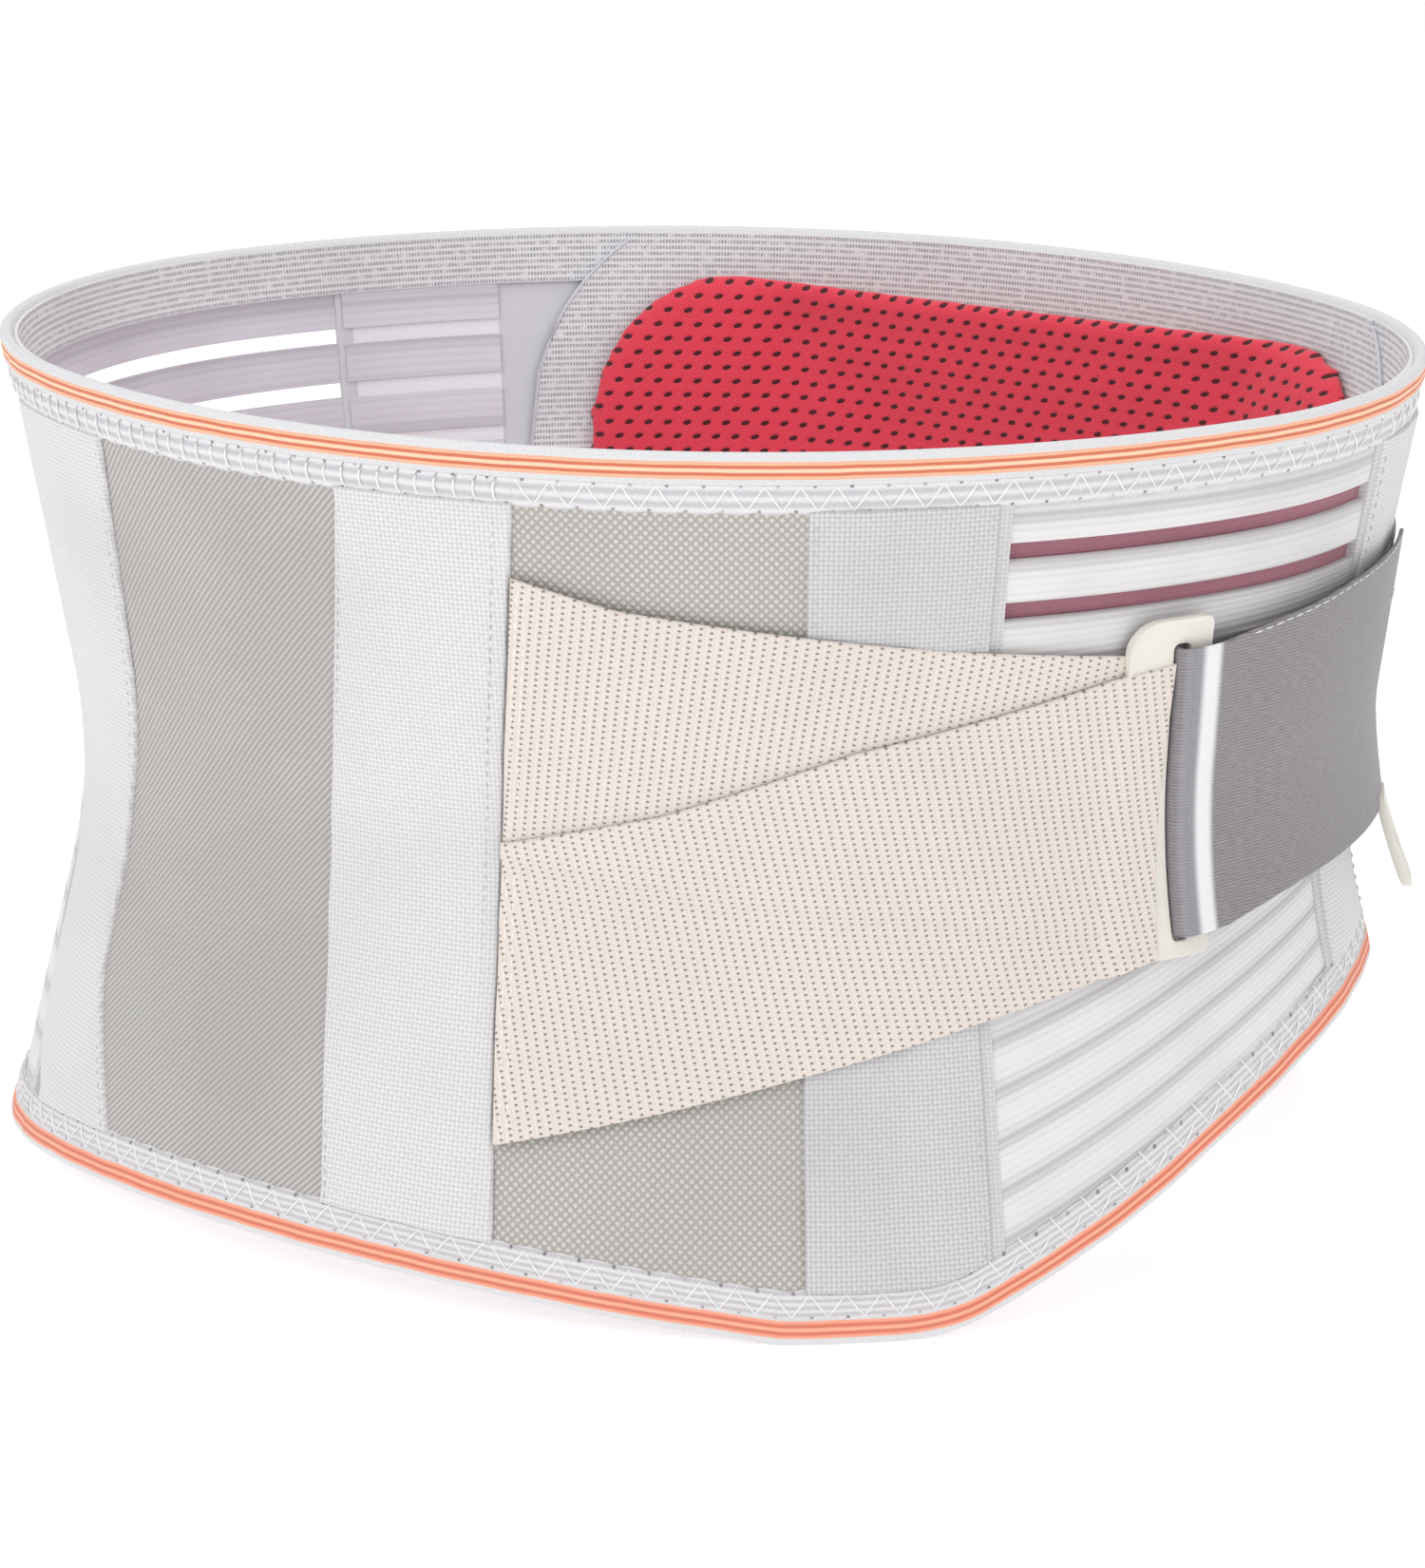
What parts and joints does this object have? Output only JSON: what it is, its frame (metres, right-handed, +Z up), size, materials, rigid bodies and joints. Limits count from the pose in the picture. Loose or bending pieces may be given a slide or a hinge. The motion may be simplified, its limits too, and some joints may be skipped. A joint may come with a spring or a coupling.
{
  "type": "lumbar support belt",
  "caption": "Elastic lumbar support belt with crossed pull straps, slotted plates, steel stays, a hook-and-loop front flap and a removable padded back.",
  "frame": {"origin": "centre of the belt's box on the surface it stands on", "axes": "+Z up from hem to rim, X along the long axis of the closed oval, -Y towards the closure side"},
  "size_m": [0.3953, 0.3164, 0.23],
  "materials": {
    "twill": "grey diagonal twill",
    "cross_weave": "beige-grey diamond weave",
    "silver_cloth": "silver-white plain weave",
    "lining": "smooth grey lining",
    "white_knit": "white spacer knit",
    "ribbed_elastic": "ribbed white elastic",
    "dotted_elastic": "beige elastic webbing",
    "satin_strap": "grey satin webbing",
    "binding": "white binding with orange lines",
    "seam_tape": "white stitched tape",
    "hook_tape": "hook tape",
    "loop_pile": "loop pile",
    "red_mesh": "red air mesh",
    "foam": "soft foam",
    "ivory_plastic": "moulded ivory plastic",
    "stay_steel": "flat spring steel"
  },
  "bodies": {
    "belt": {"left_front_panel": "cross_weave", "left_front_lining": "lining", "left_front_strip": "silver_cloth", "left_front_stays": "stay_steel", "closure_tongue": "lining", "tongue_loop_patch": "loop_pile", "left_elastic": "ribbed_elastic", "right_elastic": "ribbed_elastic", "back_panel": "twill", "back_lining": "lining", "left_rear_strip": "silver_cloth", "left_rear_stays": "stay_steel", "right_rear_strip": "silver_cloth", "right_rear_stays": "stay_steel", "back_strips": "silver_cloth", "back_stays": "stay_steel", "top_binding_left": "binding", "top_binding_back": "binding", "top_binding_right": "binding", "hem_binding_left": "binding", "hem_binding_back": "binding", "hem_binding_right": "binding", "top_seam": "seam_tape", "hem_seam": "seam_tape", "top_facing": "white_knit", "left_under_strap": "dotted_elastic", "left_over_strap": "dotted_elastic", "left_plate": "ivory_plastic", "left_cinch_strap": "satin_strap", "right_under_strap": "dotted_elastic", "right_over_strap": "dotted_elastic", "right_plate": "ivory_plastic", "right_cinch_strap": "satin_strap", "back_strap_cover": "twill", "lumbar_mesh_panel": "white_knit"},
    "flap": {"flap_panel": "twill", "flap_lining": "lining", "flap_rear_strip": "silver_cloth", "flap_rear_stays": "stay_steel", "flap_edge_strip": "silver_cloth", "flap_edge_stays": "stay_steel", "flap_hook_patch": "hook_tape", "flap_top_binding": "binding", "flap_hem_binding": "binding", "flap_top_seam": "seam_tape", "flap_hem_seam": "seam_tape", "flap_top_facing": "white_knit"},
    "left_tail": {"left_tail_strap": "satin_strap", "left_tail_hook": "hook_tape", "left_pull_tab": "ivory_plastic"},
    "right_tail": {"right_tail_strap": "satin_strap", "right_tail_hook": "hook_tape", "right_pull_tab": "ivory_plastic"},
    "lumbar_pad": {"lumbar_pad_cover": "red_mesh", "lumbar_pad_core": "foam", "pad_hook_patches": "hook_tape"}
  },
  "joints": [
    {"name": "flap_open", "type": "hinge", "parent": "belt", "child": "flap", "pos_m": [-0.18248, -0.06499, 0.12], "axis": [0, 0, -1], "range_deg": [0, 110]},
    {"name": "left_tail_peel", "type": "hinge", "parent": "belt", "child": "left_tail", "pos_m": [0.14768, -0.09349, 0.133], "axis": [0, 0, -1], "range_deg": [0, 100]},
    {"name": "right_tail_peel", "type": "hinge", "parent": "belt", "child": "right_tail", "pos_m": [-0.10701, 0.12088, 0.133], "axis": [0, 0, 1], "range_deg": [0, 100]},
    {"name": "pad_pull_off", "type": "slide", "parent": "belt", "child": "lumbar_pad", "axis": [-0.3545, -0.9351, 0], "range_m": [0, 0.06]}
  ]
}
